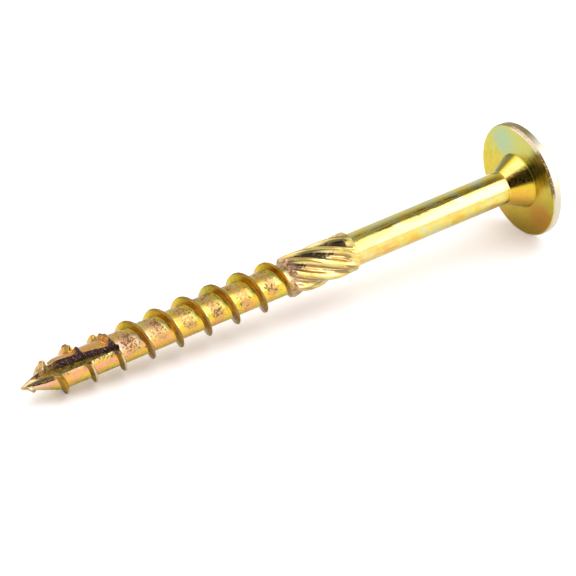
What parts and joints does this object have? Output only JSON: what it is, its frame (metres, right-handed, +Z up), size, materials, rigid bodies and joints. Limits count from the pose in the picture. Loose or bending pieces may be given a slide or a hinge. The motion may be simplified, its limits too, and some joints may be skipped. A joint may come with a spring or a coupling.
{
  "type": "washer head wood screw",
  "caption": "Washer head wood screw with a six-lobe recess, coned neck, smooth shank, ribbed reamer, coarse thread and slotted cutting point.",
  "frame": {"origin": "on the floor, under the middle of the lying screw's box", "axes": "+X along the floor from the tip towards the head, +Z up, the screw lying on its rim and its first full crest"},
  "size_m": [0.103, 0.0202, 0.0202],
  "materials": {
    "plated_steel": "zinc plated with a yellow iridescent chromate film, glossy"
  },
  "bodies": {
    "root": {"screw": "plated_steel"}
  },
  "joints": []
}
